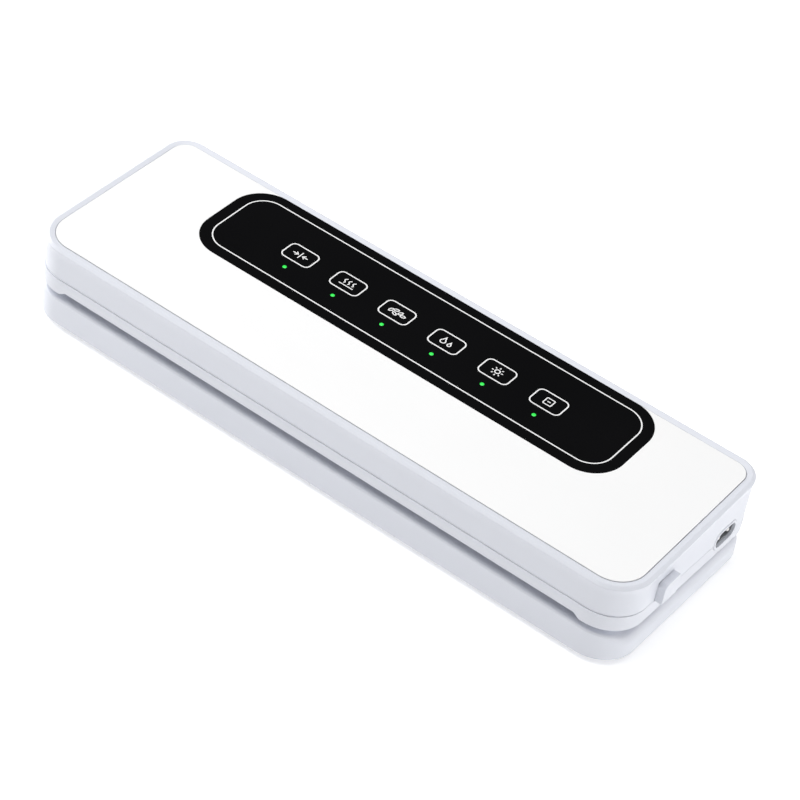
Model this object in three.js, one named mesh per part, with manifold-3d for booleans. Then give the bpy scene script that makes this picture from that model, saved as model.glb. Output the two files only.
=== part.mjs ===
// Countertop vacuum sealer: a hinged lid with the electronics over a low base.
// Millimetres, +Z up, +X to the mains inlet end, -Y to the bag mouth.
// The origin is on the ground, under the middle of the object.
import * as THREE from 'three';
import { mergeVertices } from 'three/addons/utils/BufferGeometryUtils.js';
import Module from 'manifold-3d';

const wasm = await Module();
wasm.setup();

// ---- Driving dimensions ----
const LENGTH = 367.4;           // over the rim, end to end
const DEPTH = 117.8;           // over the rim, front to back
const WALL_INSET = 0.6;        // walls stand this far inside the rim
const RIM_WIDTH = 5;           // rim around the recessed top plate
const FRONT_RADIUS = 20.6;     // plan radius of the front rim corners
const BACK_RADIUS = 13.5;      // plan radius of the back rim corners
const WALL = 2.4;              // shell thickness
const GAP = 0.3;               // fit gap between neighbouring pieces

const Z_BASE = 3;              // underside of the base wall, above the feet
const Z_BASE_TOP = 22.6;       // flat top of the base
const Z_LEDGE = 19.2;          // lowered front ledge that guides the bag
const Z_LID = 22.9;            // underside of the lid
const Z_MOUTH = 25.2;          // raised front edge of the lid, over the bag mouth
const Z_FLOOR = 28;            // inside floor of the lid
const Z_SEAM = 31.8;           // joint line between the two lid shells
const WEDGE = 0.042;           // the top rises this much per millimetre towards the back
const Z_WEDGE = 40;            // full rise from here up; the heights below are at the front edge
const Z_DECK = 46;             // underside of the deck that carries the top plate
const Z_RECESS = 48.2;         // top of that deck
const Z_PANEL = 49.7;          // top surface of the plate
const Z_RIM = 49.9;            // top of the rim
const RIM_HEIGHT = 2.5;
const BASE_ROUND = 6.5;        // rounding of the base's top edge
const BASE_SKIN = 2.5;         // base deck thickness

const MOUTH_HALF = 157.5;      // half length of the bag mouth
const MOUTH_BACK = -44;        // the mouth ends here, in front of the seal bar
const BAR_Y = -37;             // centre line of the seal bar
const BAR_HALF = 150;
const VAC_Y = 2;               // centre line of the vacuum chamber
const GASKET = { length: 316, depth: 60, width: 5, radius: 12 };
const TROUGH = { length: 292, depth: 42, floor: 12.5, radius: 8 };

const HINGE_Y = 55.7;
const HINGE_Z = 21;
const HINGE_X = 125;           // hinge stations, left and right of the middle
const LUG_HALF = 5;            // half width of the lid's lug
const EAR_OUT = 11.5;          // outer face of the base's ears
const LUG_RADIUS = 3.2;

const KEY_COUNT = 6;
const KEY_PITCH = 31.05;
const KEY_FIRST_X = -75.2;
const KEY_Y = 24.2;
const KEY = { width: 19.6, depth: 13.6, radius: 3.2, travel: 0.4 };
const LIGHT_FIRST_X = -75.4;
const LIGHT_Y = 11.8;
const LIGHT_RADIUS = 1.2;
const KEY_NAMES = ['vacuum', 'seal', 'grain', 'moist', 'dry', 'stop'];

const TAB = { front: -30.7, back: -18.1, bottom: 30.5, top: 42.2, proud: 4 };
const INLET = { y: 31.2, z: 30.5, pitch: 8.6, width: 15.4, height: 7, rim: 2.3, depth: 13 };

// ---- Derived sizes ----
const X_RIM = LENGTH / 2;
const Y_RIM = DEPTH / 2;
const X_WALL = X_RIM - WALL_INSET;
const Y_WALL = Y_RIM - WALL_INSET;
const R_WALL_F = FRONT_RADIUS - WALL_INSET;
const R_WALL_B = BACK_RADIUS - WALL_INSET;
const PLATE_BOTTOM = Z_RECESS + GAP;
const OVERLAY = { x0: -127.4, x1: 131, y0: -5.5, radius: 19 };
const PLATE_BACK = Y_RIM - RIM_WIDTH;

// ---- Shape helpers ----
function roundedRect(x0, x1, y0, y1, rFront, rBack = rFront) {
  const s = new THREE.Shape();
  s.moveTo(x0 + rFront, y0);
  s.lineTo(x1 - rFront, y0);
  s.absarc(x1 - rFront, y0 + rFront, rFront, -Math.PI / 2, 0);
  s.lineTo(x1, y1 - rBack);
  s.absarc(x1 - rBack, y1 - rBack, rBack, 0, Math.PI / 2);
  s.lineTo(x0 + rBack, y1);
  s.absarc(x0 + rBack, y1 - rBack, rBack, Math.PI / 2, Math.PI);
  s.lineTo(x0, y0 + rFront);
  s.absarc(x0 + rFront, y0 + rFront, rFront, Math.PI, 1.5 * Math.PI);
  return s;
}

function polygon(points) {
  return new THREE.Shape(points.map(([x, y]) => new THREE.Vector2(x, y)));
}

// Turns a closed geometry into a solid that can be joined and cut.
function solid(geometry) {
  geometry.deleteAttribute('normal');
  geometry.deleteAttribute('uv');
  const merged = mergeVertices(geometry, 1e-4);
  return new wasm.Manifold(new wasm.Mesh({
    numProp: 3,
    vertProperties: new Float32Array(merged.attributes.position.array),
    triVerts: new Uint32Array(merged.index.array),
  }));
}

function plate(shape, z0, z1, segments = 3) {
  const options = { depth: z1 - z0, bevelEnabled: false, curveSegments: segments };
  return solid(new THREE.ExtrudeGeometry(shape, options).translate(0, 0, z0));
}

// A plate whose top and bottom edges are rounded by r.
function roundedPlate(shape, z0, z1, r, steps = 2) {
  const geometry = new THREE.ExtrudeGeometry(shape, {
    depth: z1 - z0 - 2 * r,
    bevelEnabled: true,
    bevelThickness: r,
    bevelSize: r,
    bevelOffset: -r,
    bevelSegments: steps,
    curveSegments: 4,
  });
  return solid(geometry.translate(0, 0, z0 + r));
}

function block(x0, x1, y0, y1, z0, z1) {
  const geometry = new THREE.BoxGeometry(x1 - x0, y1 - y0, z1 - z0);
  return solid(geometry.translate((x0 + x1) / 2, (y0 + y1) / 2, (z0 + z1) / 2));
}

function post(x, y, radius, z0, z1, sides = 10) {
  const geometry = new THREE.CylinderGeometry(radius, radius, z1 - z0, sides);
  return solid(geometry.rotateX(Math.PI / 2).translate(x, y, (z0 + z1) / 2));
}

function rodX(x0, x1, y, z, radius, sides = 14) {
  const geometry = new THREE.CylinderGeometry(radius, radius, x1 - x0, sides);
  return solid(geometry.rotateZ(Math.PI / 2).translate((x0 + x1) / 2, y, z));
}

// A profile in the YZ plane, drawn along X.
function prismX(points, x0, x1) {
  const geometry = new THREE.ExtrudeGeometry(polygon(points), { depth: x1 - x0, bevelEnabled: false });
  geometry.rotateX(Math.PI / 2).rotateZ(Math.PI / 2);
  return solid(geometry.translate(x0, 0, 0));
}

// A profile in the XZ plane, drawn along Y.
function prismY(points, y0, y1) {
  const geometry = new THREE.ExtrudeGeometry(polygon(points), { depth: y1 - y0, bevelEnabled: false });
  return solid(geometry.rotateX(Math.PI / 2).translate(0, y1, 0));
}

function lathe(points, x, y, sides = 10) {
  const profile = points.map(([r, z]) => new THREE.Vector2(r, z));
  return solid(new THREE.LatheGeometry(profile, sides).rotateX(Math.PI / 2).translate(x, y, 0));
}

// Raises the upper part of a piece towards the back, so that a level top becomes the sloping one.
function wedge(body) {
  return body.warp((v) => {
    const share = Math.min(1, Math.max(0, (v[2] - Z_SEAM) / (Z_WEDGE - Z_SEAM)));
    v[2] += WEDGE * (v[1] + Y_RIM) * share;
  });
}

function mirrorX(body) {
  return body.mirror([1, 0, 0]);
}

function ring(length, depth, width, radius, yMid, z0, z1) {
  const outer = roundedRect(-length / 2, length / 2, yMid - depth / 2, yMid + depth / 2, radius);
  const inner = roundedRect(-length / 2 + width, length / 2 - width, yMid - depth / 2 + width,
    yMid + depth / 2 - width, radius - width);
  return plate(outer, z0, z1).subtract(plate(inner, z0 - 1, z1 + 1));
}

const wallOutline = (inset) => roundedRect(-X_WALL + inset, X_WALL - inset, -Y_WALL + inset,
  Y_WALL - inset, R_WALL_F - inset, R_WALL_B - inset);

// ---- Materials ----
const finish = (color, roughness, metalness = 0) => ({ color, roughness, metalness });
const WHITE = finish(0xe9ebf0, 0.42);
const PLATE = finish(0xfafafa, 0.38);
const BLACK = finish(0x0d0d0e, 0.18);
const GREEN = finish(0x2fd23a, 0.3);
const RUBBER = finish(0x2c2d2f, 0.8);
const SILICONE = finish(0xb9bcc0, 0.6);
const FOAM = finish(0x3a3c3f, 0.9);
const STEEL = finish(0xb8bbc0, 0.35, 1);
const ALUMINIUM = finish(0xcfd2d6, 0.4, 1);
const BOARD = finish(0x1f5b3a, 0.5);
const DARK = finish(0x2a2b2e, 0.5);
const BRASS = finish(0xc9a24a, 0.35, 1);
const TAPE = finish(0xb59468, 0.5);
const HOSE = finish(0xd9dde0, 0.35);

const group = new THREE.Group();
group.name = 'vacuum_sealer';

function add(name, body, look) {
  const mesh = body.getMesh();
  const geometry = new THREE.BufferGeometry();
  geometry.setAttribute('position', new THREE.BufferAttribute(new Float32Array(mesh.vertProperties), 3));
  geometry.setIndex(new THREE.BufferAttribute(new Uint32Array(mesh.triVerts), 1));
  geometry.computeVertexNormals();
  const part = new THREE.Mesh(geometry, new THREE.MeshStandardMaterial(look));
  part.name = name;
  group.add(part);
}

// ---- Base ----
const HOOK_Y = (TAB.front + TAB.back) / 2;
const HOOK_HALF = 5;
const SLOT = { x0: 169, x1: 176.6, y0: HOOK_Y - 6, y1: HOOK_Y + 6 };    // keeper slot, right end
const BASE_SCREWS = [['front_left', -150, -50], ['front_right', 150, -50],
  ['rear_left', -150, 46], ['rear_right', 150, 46]];
const LID_SCREWS = [['front_left', -168, -41], ['front_right', 168, -41],
  ['rear_left', -168, 46], ['rear_right', 168, 46]];
const SWITCH = { x: -150, y: 42 };

function hingeEars(x) {
  const body = block(x - EAR_OUT, x + EAR_OUT, 51.2, Y_WALL, 13, HINGE_Z)
    .add(rodX(x - EAR_OUT, x + EAR_OUT, HINGE_Y, HINGE_Z, LUG_RADIUS));
  const pocket = rodX(x - LUG_HALF - 0.5, x + LUG_HALF + 0.5, HINGE_Y, HINGE_Z, 4.3);
  const aboveAxis = block(x - LUG_HALF - 0.5, x + LUG_HALF + 0.5, HINGE_Y - 4.3, Y_RIM + 2, HINGE_Z, 30);
  const bore = rodX(x - 20, x + 20, HINGE_Y, HINGE_Z, 1.8);
  return { body, cut: pocket.add(aboveAxis).add(bore) };
}

function baseShell() {
  const tall = roundedPlate(wallOutline(0), Z_BASE - 12, Z_BASE_TOP, BASE_ROUND, 2);
  let body = tall.subtract(block(-200, 200, -80, 80, -30, Z_BASE));
  body = body.subtract(plate(wallOutline(BASE_SKIN), Z_BASE - 1, Z_BASE_TOP - BASE_ROUND));
  body = body.subtract(plate(wallOutline(BASE_ROUND), Z_BASE, Z_LEDGE - BASE_SKIN));

  // Vacuum trough, gasket groove and silicone channel hang under the deck.
  const halfT = TROUGH.length / 2;
  const halfD = TROUGH.depth / 2;
  body = body.add(plate(roundedRect(-halfT - 2, halfT + 2, VAC_Y - halfD - 2, VAC_Y + halfD + 2,
    TROUGH.radius + 2), TROUGH.floor - 2, Z_BASE_TOP));
  body = body.add(block(-BAR_HALF - 4.5, BAR_HALF + 4.5, BAR_Y - 6.5, BAR_Y + 6.5, 15.4, Z_LEDGE));
  body = body.subtract(plate(roundedRect(-halfT, halfT, VAC_Y - halfD, VAC_Y + halfD,
    TROUGH.radius), TROUGH.floor, 40));
  body = body.add(ring(GASKET.length + 4, GASKET.depth + 4, GASKET.width + 4, GASKET.radius + 2,
    VAC_Y, 17, 20));
  body = body.subtract(ring(GASKET.length + 0.6, GASKET.depth + 0.6, GASKET.width + 0.6,
    GASKET.radius + 0.3, VAC_Y, Z_BASE_TOP - 3.4, 40));

  // The front ledge runs between sloped ends and reaches back to the silicone strip.
  const ledge = [[-MOUTH_HALF - 3, Z_BASE_TOP + 0.1], [-MOUTH_HALF, Z_LEDGE], [MOUTH_HALF, Z_LEDGE],
    [MOUTH_HALF + 3, Z_BASE_TOP + 0.1]];
  body = body.subtract(prismY(ledge, -70, BAR_Y - 5));
  body = body.subtract(block(-BAR_HALF - 2.5, BAR_HALF + 2.5, BAR_Y - 5, BAR_Y + 5, 17.6, 40));

  for (const side of [-1, 1]) {
    const x0 = side > 0 ? SLOT.x0 : -SLOT.x1;
    const x1 = side > 0 ? SLOT.x1 : -SLOT.x0;
    body = body.subtract(block(x0, x1, SLOT.y0, SLOT.y1, 5, 40));
    const hinge = hingeEars(side * HINGE_X);
    body = body.add(hinge.body).subtract(hinge.cut);
  }
  for (const [, x, y] of BASE_SCREWS) {
    body = body.add(post(x, y, 3.6, 5.6, 19)).subtract(post(x, y, 1.6, 5, 15));
  }
  // A small rib closes the lid switch.
  return body.add(block(SWITCH.x - 2, SWITCH.x + 2, SWITCH.y - 2, SWITCH.y + 2, 22, 27));
}

add('base_shell', baseShell(), WHITE);

let bottom = plate(wallOutline(BASE_SKIN + 0.4), Z_BASE + 0.3, 5.2);
for (const [, x, y] of BASE_SCREWS) bottom = bottom.subtract(post(x, y, 1.7, 0, 8));
add('base_bottom_cover', bottom, WHITE);

for (const [place, x, y] of BASE_SCREWS) {
  const profile = [[0, 1.4], [2.4, 1.4], [2.8, 1.9], [2.8, 3], [1.3, 3], [1.3, 13], [0, 14]];
  add(`base_screw_${place}`, lathe(profile, x, y), STEEL);
}
const FEET = [['front_left', -160, -36], ['front_right', 160, -36],
  ['rear_left', -160, 36], ['rear_right', 160, 36]];
for (const [place, x, y] of FEET) {
  const profile = [[0, 0], [6.2, 0], [7, 0.8], [7, 3], [0, 3]];
  add(`foot_${place}`, lathe(profile, x, y, 20), RUBBER);
}

add('vacuum_gasket_lower', ring(GASKET.length, GASKET.depth, GASKET.width, GASKET.radius, VAC_Y,
  Z_BASE_TOP - 3.1, Z_BASE_TOP + 0.15), FOAM);

const stripProfile = [[BAR_Y - 4.6, 17.9], [BAR_Y + 4.6, 17.9], [BAR_Y + 4.6, Z_BASE_TOP - 0.8],
  [BAR_Y + 3.8, Z_BASE_TOP], [BAR_Y - 3.8, Z_BASE_TOP], [BAR_Y - 4.6, Z_BASE_TOP - 0.8]];
add('pressure_strip', prismX(stripProfile, -BAR_HALF - 2, BAR_HALF + 2), SILICONE);

for (const [side, sign] of [['left', -1], ['right', 1]]) {
  const x = sign * HINGE_X;
  add(`hinge_pin_${side}`, rodX(x - 11, x + 11, HINGE_Y, HINGE_Z, 1.5), STEEL);
}

// ---- Lid shells ----
function inletHole(clear) {
  const half = INLET.width / 2 + INLET.rim + clear;
  const tall = INLET.height / 2 + INLET.rim + clear;
  const outline = roundedRect(INLET.y - half, INLET.y + half, INLET.z - tall, INLET.z + tall, tall - 0.01);
  const geometry = new THREE.ExtrudeGeometry(outline, { depth: 30, bevelEnabled: false, curveSegments: 3 });
  return solid(geometry.rotateX(Math.PI / 2).rotateZ(Math.PI / 2).translate(165, 0, 0));
}

function tabWindow() {
  return block(X_WALL - 5.5, X_WALL + 6, TAB.front - 0.4, TAB.back + 0.4, TAB.bottom - 0.4, TAB.top + 0.4);
}

function lidShell() {
  const rim = roundedRect(-X_RIM, X_RIM, -Y_RIM, Y_RIM, FRONT_RADIUS, BACK_RADIUS);
  let body = roundedPlate(rim, Z_RIM - RIM_HEIGHT, Z_RIM, 1.1);
  body = body.add(plate(wallOutline(0), Z_SEAM + 0.15, Z_RIM - 1));
  body = body.subtract(plate(wallOutline(WALL), Z_SEAM - 1, Z_DECK));
  body = body.subtract(plate(roundedRect(-X_RIM + RIM_WIDTH - 0.4, X_RIM - RIM_WIDTH + 0.4,
    -Y_RIM + RIM_WIDTH - 0.4, Y_RIM - RIM_WIDTH + 0.4, 16, 8.9), Z_RECESS, 60));

  for (let i = 0; i < KEY_COUNT; i += 1) {
    body = body.subtract(post(KEY_FIRST_X + i * KEY_PITCH, KEY_Y, 2.7, 40, 60, 8));
    body = body.subtract(post(LIGHT_FIRST_X + i * KEY_PITCH, LIGHT_Y, LIGHT_RADIUS + 0.4, 40, 60, 8));
  }
  for (const [, x, y] of LID_SCREWS) {
    body = body.add(post(x, y, 3.8, Z_SEAM + 0.6, Z_DECK + 1)).subtract(post(x, y, 1.7, 20, 42));
  }
  for (const x of [-112, 116]) {
    for (const y of [8, 38]) body = body.add(post(x, y, 3, 42.4, Z_DECK + 1, 8));
  }
  body = wedge(body).subtract(tabWindow()).subtract(mirrorX(tabWindow()));
  return body.subtract(inletHole(GAP));
}

add('lid_shell', lidShell(), WHITE);

function underCover() {
  let body = plate(wallOutline(0), Z_LID, Z_SEAM - 0.15);
  body = body.subtract(plate(wallOutline(WALL), Z_FLOOR, 40));

  const mouth = [[-MOUTH_HALF - 3, Z_LID - 0.1], [MOUTH_HALF + 3, Z_LID - 0.1], [MOUTH_HALF, Z_MOUTH],
    [-MOUTH_HALF, Z_MOUTH]];
  body = body.subtract(prismY(mouth, -70, MOUTH_BACK));
  body = body.subtract(block(-BAR_HALF - 2.5, BAR_HALF + 2.5, BAR_Y - 6, BAR_Y + 6, 20, Z_LID + 0.7));
  body = body.subtract(block(-BAR_HALF - 2.5, BAR_HALF + 2.5, BAR_Y - 4.4, BAR_Y + 4.4, 20, Z_LID + 3.6));
  body = body.subtract(ring(GASKET.length + 0.6, GASKET.depth + 0.6, GASKET.width + 0.6,
    GASKET.radius + 0.3, VAC_Y, 20, Z_LID + 3));

  for (const [, x, y] of LID_SCREWS) {
    body = body.add(post(x, y, 3.8, Z_FLOOR - 1, Z_SEAM)).subtract(post(x, y, 3.2, 20, 26.3));
    body = body.subtract(post(x, y, 1.7, 20, 40));
  }
  for (const x of [37, 107]) {
    for (const y of [-50, -31]) body = body.add(post(x, y, 2.4, Z_FLOOR - 1, 30.9, 8));
  }
  // Suction and relief ports into the vacuum chamber.
  body = body.add(post(120, VAC_Y, 1.8, Z_FLOOR - 1, 32, 12)).subtract(post(120, VAC_Y, 1, 20, 40, 8));
  body = body.subtract(post(-120, VAC_Y, 1.5, 20, 40, 12));
  body = body.subtract(block(SWITCH.x - 3.5, SWITCH.x + 3.5, SWITCH.y - 3.5, SWITCH.y + 3.5, 20, 40));

  for (const side of [-1, 1]) {
    const x0 = side > 0 ? SLOT.x0 : -SLOT.x1;
    const x1 = side > 0 ? SLOT.x1 : -SLOT.x0;
    body = body.subtract(block(x0, x1, SLOT.y0, SLOT.y1, 20, 40));
    const rib = side > 0 ? [157, 159.6] : [-159.6, -157];
    body = body.add(block(rib[0], rib[1], HOOK_Y - HOOK_HALF, HOOK_Y + HOOK_HALF, Z_FLOOR - 1, 42));
    const x = side * HINGE_X;
    const lug = rodX(x - LUG_HALF, x + LUG_HALF, HINGE_Y, HINGE_Z, LUG_RADIUS)
      .add(block(x - LUG_HALF, x + LUG_HALF, HINGE_Y - LUG_RADIUS, Y_WALL, HINGE_Z, Z_LID + 1));
    const earRoom = rodX(x - EAR_OUT - 0.5, x - LUG_HALF, HINGE_Y, HINGE_Z, 3.9)
      .add(rodX(x + LUG_HALF, x + EAR_OUT + 0.5, HINGE_Y, HINGE_Z, 3.9));
    body = body.add(lug).subtract(earRoom).subtract(rodX(x - 20, x + 20, HINGE_Y, HINGE_Z, 1.8));
  }
  body = body.subtract(tabWindow()).subtract(mirrorX(tabWindow()));
  return body.subtract(inletHole(GAP));
}

add('lid_under_cover', underCover(), WHITE);

for (const [place, x, y] of LID_SCREWS) {
  const profile = [[0, 23.8], [2.4, 23.8], [2.9, 24.2], [2.9, 26], [1.4, 26], [1.4, 39], [0, 40]];
  add(`lid_screw_${place}`, lathe(profile, x, y), STEEL);
}

// ---- Top plate and controls ----
function overlayOutline(clear) {
  return roundedRect(OVERLAY.x0 - clear, OVERLAY.x1 + clear, OVERLAY.y0 - clear, PLATE_BACK + clear,
    OVERLAY.radius + clear);
}

const plateOutline = roundedRect(-X_RIM + RIM_WIDTH, X_RIM - RIM_WIDTH, -Y_RIM + RIM_WIDTH,
  PLATE_BACK, 15.6, 8.5);
add('top_panel', wedge(plate(plateOutline, PLATE_BOTTOM, Z_PANEL)
  .subtract(plate(overlayOutline(GAP), 40, 60))), PLATE);

function keyOutline(x, clear) {
  return roundedRect(x - KEY.width / 2 - clear, x + KEY.width / 2 + clear, KEY_Y - KEY.depth / 2 - clear,
    KEY_Y + KEY.depth / 2 + clear, KEY.radius + clear);
}

let overlay = plate(overlayOutline(0), PLATE_BOTTOM, Z_PANEL);
for (let i = 0; i < KEY_COUNT; i += 1) {
  overlay = overlay.subtract(plate(keyOutline(KEY_FIRST_X + i * KEY_PITCH, GAP), 40, 60, 2));
  overlay = overlay.subtract(post(LIGHT_FIRST_X + i * KEY_PITCH, LIGHT_Y, LIGHT_RADIUS + 0.25, 40, 60, 10));
}
add('control_overlay', wedge(overlay), BLACK);

let board = block(-118, 122, 3, 43, 40.5, 42.1);
for (let i = 0; i < KEY_COUNT; i += 1) {
  const x = KEY_FIRST_X + i * KEY_PITCH;
  board = board.add(block(x - 3, x + 3, KEY_Y - 3, KEY_Y + 3, 41.5, 42.7)).add(post(x, KEY_Y, 1.6, 42.5, 43.1, 8));
  const cap = plate(keyOutline(x, 0), Z_PANEL - 0.8, Z_PANEL, 2);
  add(`key_${KEY_NAMES[i]}`, wedge(cap.add(post(x, KEY_Y, 2.2, 43.9, 49.1, 8))), BLACK);
  const lx = LIGHT_FIRST_X + i * KEY_PITCH;
  board = board.add(block(lx - 1, lx + 1, LIGHT_Y - 1, LIGHT_Y + 1, 41.5, 42.8));
  add(`indicator_${i + 1}`, wedge(post(lx, LIGHT_Y, LIGHT_RADIUS, 43.1, Z_PANEL, 10)), GREEN);
}
board = board.add(block(-20, -8, 33, 41, 41.5, 43.5)).add(block(60, 72, 34, 41, 40.2, 41.5));
add('control_board', wedge(board), BOARD);

// ---- Pump and air line ----
const PUMP_Y = -22;
const PUMP_Z = 38;
add('pump_motor', rodX(-72, -38, PUMP_Y, PUMP_Z, 8.5, 20).add(rodX(-76, -71, PUMP_Y, PUMP_Z, 3, 16)), STEEL);
add('pump_head', block(-37.6, -13, PUMP_Y - 10.5, PUMP_Y + 10.5, 28.8, 46.5)
  .add(rodX(-14, -6, PUMP_Y, 36, 1.9, 12)), DARK);
add('pump_bracket', block(-66, -44, PUMP_Y - 12, PUMP_Y + 12, 28.5, 35)
  .subtract(rodX(-90, -30, PUMP_Y, PUMP_Z, 8.9, 20)), DARK);

class HoseRoute extends THREE.Curve {
  // Straight off the pump, a wide bend to the back, then down onto the suction port.
  getPoint(t, target = new THREE.Vector3()) {
    const route = new THREE.CatmullRomCurve3([
      new THREE.Vector3(-10, PUMP_Y, 36), new THREE.Vector3(8, PUMP_Y, 36),
      new THREE.Vector3(60, PUMP_Y, 36), new THREE.Vector3(95, PUMP_Y + 2, 36.5),
      new THREE.Vector3(114, PUMP_Y + 11, 37.4), new THREE.Vector3(119.5, VAC_Y - 4, 37.6),
      new THREE.Vector3(120, VAC_Y, 34), new THREE.Vector3(120, VAC_Y, 31.6),
      new THREE.Vector3(120, VAC_Y, 29.2)]);
    return target.copy(route.getPoint(t));
  }
}

const hoseRing = new THREE.Shape();
hoseRing.absarc(0, 0, 3.6, 0, 2 * Math.PI);
const hoseBore = new THREE.Path();
hoseBore.absarc(0, 0, 2.7, 0, 2 * Math.PI);
hoseRing.holes.push(hoseBore);
add('air_hose', solid(new THREE.ExtrudeGeometry(hoseRing,
  { steps: 24, extrudePath: new HoseRoute(), curveSegments: 4, bevelEnabled: false })), HOSE);

add('relief_valve', lathe([[0, 28.5], [5, 28.5], [5, 33], [3.5, 34], [3.5, 39], [0, 40]], -120, VAC_Y), DARK);

// ---- Power side ----
add('power_board', block(32, 112, -54, -28, 31.2, 32.8), BOARD);
add('transformer', block(38, 66, -52, -30.5, 33.1, 38).add(block(43, 61, -52, -30.5, 37, 45.6))
  .add(block(38, 66, -47, -35.5, 37, 43.5)), DARK);
add('capacitor', rodX(72, 93, -42, 39.7, 6.2, 24), DARK);
add('lid_switch', block(SWITCH.x - 6, SWITCH.x + 6, SWITCH.y - 3, SWITCH.y + 3, 28.5, 37)
  .subtract(block(SWITCH.x - 3, SWITCH.x + 3, SWITCH.y - 4, SWITCH.y + 4, 28, 30)), DARK);

// ---- Mains inlet: a two-pin figure-8 recess in the right end ----
function inletSocket() {
  const body = inletHole(0).intersect(block(X_WALL - INLET.depth - 2, X_WALL + 0.3, 0, 60, Z_LID + 0.2, 40));
  const radius = INLET.height / 2;
  const reach = INLET.width / 2 - radius;
  const x0 = X_WALL - INLET.depth;
  const lobes = [-1, 1].map((s) => rodX(x0, 190, INLET.y + s * reach, INLET.z, radius, 20));
  const waist = block(x0, 190, INLET.y - reach, INLET.y + reach, INLET.z - 2.9, INLET.z + 2.9);
  let cut = lobes[0].add(lobes[1]).add(waist);
  for (const s of [-1, 1]) cut = cut.add(rodX(x0 - 5, 180, INLET.y + s * INLET.pitch / 2, INLET.z, 1.5, 16));
  return body.subtract(cut);
}

add('inlet_socket', inletSocket(), finish(0x55585e, 0.45));
for (const [place, s] of [['front', -1], ['rear', 1]]) {
  const y = INLET.y + s * INLET.pitch / 2;
  add(`inlet_pin_${place}`, rodX(X_WALL - INLET.depth - 4, X_WALL - 1.8, y, INLET.z, 1.2, 16), BRASS);
}

// ---- Seal bar in the lid ----
add('heating_bar', block(-BAR_HALF, BAR_HALF, BAR_Y - 4, BAR_Y + 4, Z_LID + 0.9, Z_LID + 3.3), ALUMINIUM);
add('heating_wire', block(-BAR_HALF - 1, BAR_HALF + 1, BAR_Y - 1.5, BAR_Y + 1.5, Z_LID + 0.4, Z_LID + 0.7), STEEL);
add('ptfe_tape', block(-BAR_HALF - 2, BAR_HALF + 2, BAR_Y - 5.6, BAR_Y + 5.6, Z_LID, Z_LID + 0.25), TAPE);
add('vacuum_gasket_upper', ring(GASKET.length, GASKET.depth, GASKET.width, GASKET.radius, VAC_Y,
  Z_LID + 0.15, Z_LID + 2.7), FOAM);

// ---- Release buttons: outer tab, guide flange, and a hook that drops into the base ----
function latchButton() {
  const chamfer = 1.6;
  const face = [[TAB.front, TAB.bottom], [TAB.back, TAB.bottom], [TAB.back, TAB.top],
    [TAB.front + chamfer, TAB.top], [TAB.front, TAB.top - chamfer]];
  const y0 = HOOK_Y - HOOK_HALF;
  const y1 = HOOK_Y + HOOK_HALF;
  let body = prismX(face, 176, X_WALL + TAB.proud);
  body = body.add(block(177.4, 180.3, TAB.front - 1.4, TAB.back + 1.4, TAB.bottom, TAB.top + 1.4));
  body = body.add(block(170, 178, y0, y1, 34, 41.5));
  body = body.add(block(172.3, 174.6, y0, y1, 16.9, 36));
  const toe = [[174, 16.9], [175.2, 16.9], [176.2, 17.9], [176.2, 19], [174, 19]];
  return body.add(prismY(toe, y0, y1));
}

function coil(x0, x1, radius, turns) {
  class Helix extends THREE.Curve {
    getPoint(t, target = new THREE.Vector3()) {
      const a = 2 * Math.PI * turns * t;
      return target.set(x0 + (x1 - x0) * t, radius * Math.cos(a), radius * Math.sin(a));
    }
  }
  const wire = new THREE.Shape();
  wire.absarc(0, 0, 0.35, 0, 2 * Math.PI);
  return solid(new THREE.ExtrudeGeometry(wire,
    { steps: turns * 8, extrudePath: new Helix(), curveSegments: 2, bevelEnabled: false }));
}

const button = latchButton();
const spring = coil(160.4, 169.2, 2.6, 4).translate([0, HOOK_Y, 38]);
add('latch_button_right', button, WHITE);
add('latch_button_left', mirrorX(button), WHITE);
add('latch_spring_right', spring, STEEL);
add('latch_spring_left', mirrorX(spring), STEEL);

export default group;
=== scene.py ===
"""Countertop vacuum sealer: the looks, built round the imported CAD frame. Metres, row frame."""
import math

import bmesh
import bpy
from mathutils import Matrix, Vector


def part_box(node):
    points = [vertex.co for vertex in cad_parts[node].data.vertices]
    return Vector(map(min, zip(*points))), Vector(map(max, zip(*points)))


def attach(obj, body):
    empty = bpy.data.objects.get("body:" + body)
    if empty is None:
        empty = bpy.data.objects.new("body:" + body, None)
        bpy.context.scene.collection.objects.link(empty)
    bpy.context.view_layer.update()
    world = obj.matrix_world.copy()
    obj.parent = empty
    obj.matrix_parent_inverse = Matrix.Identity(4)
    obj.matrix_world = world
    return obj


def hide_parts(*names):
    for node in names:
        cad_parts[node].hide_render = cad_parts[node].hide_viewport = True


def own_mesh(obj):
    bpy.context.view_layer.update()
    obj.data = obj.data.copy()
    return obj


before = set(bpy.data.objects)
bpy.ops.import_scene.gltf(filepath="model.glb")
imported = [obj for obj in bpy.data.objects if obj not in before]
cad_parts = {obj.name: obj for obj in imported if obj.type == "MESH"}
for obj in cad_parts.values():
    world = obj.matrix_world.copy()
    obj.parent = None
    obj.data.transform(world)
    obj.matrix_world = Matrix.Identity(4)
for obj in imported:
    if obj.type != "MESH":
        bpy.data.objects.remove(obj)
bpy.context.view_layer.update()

scene = bpy.context.scene
MM = 0.001


def span(node):
    """A CAD node's box in millimetres: x0, x1, y0, y1, z0, z1."""
    low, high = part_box(node)
    return [value / MM for pair in zip(low, high) for value in pair]


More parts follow.
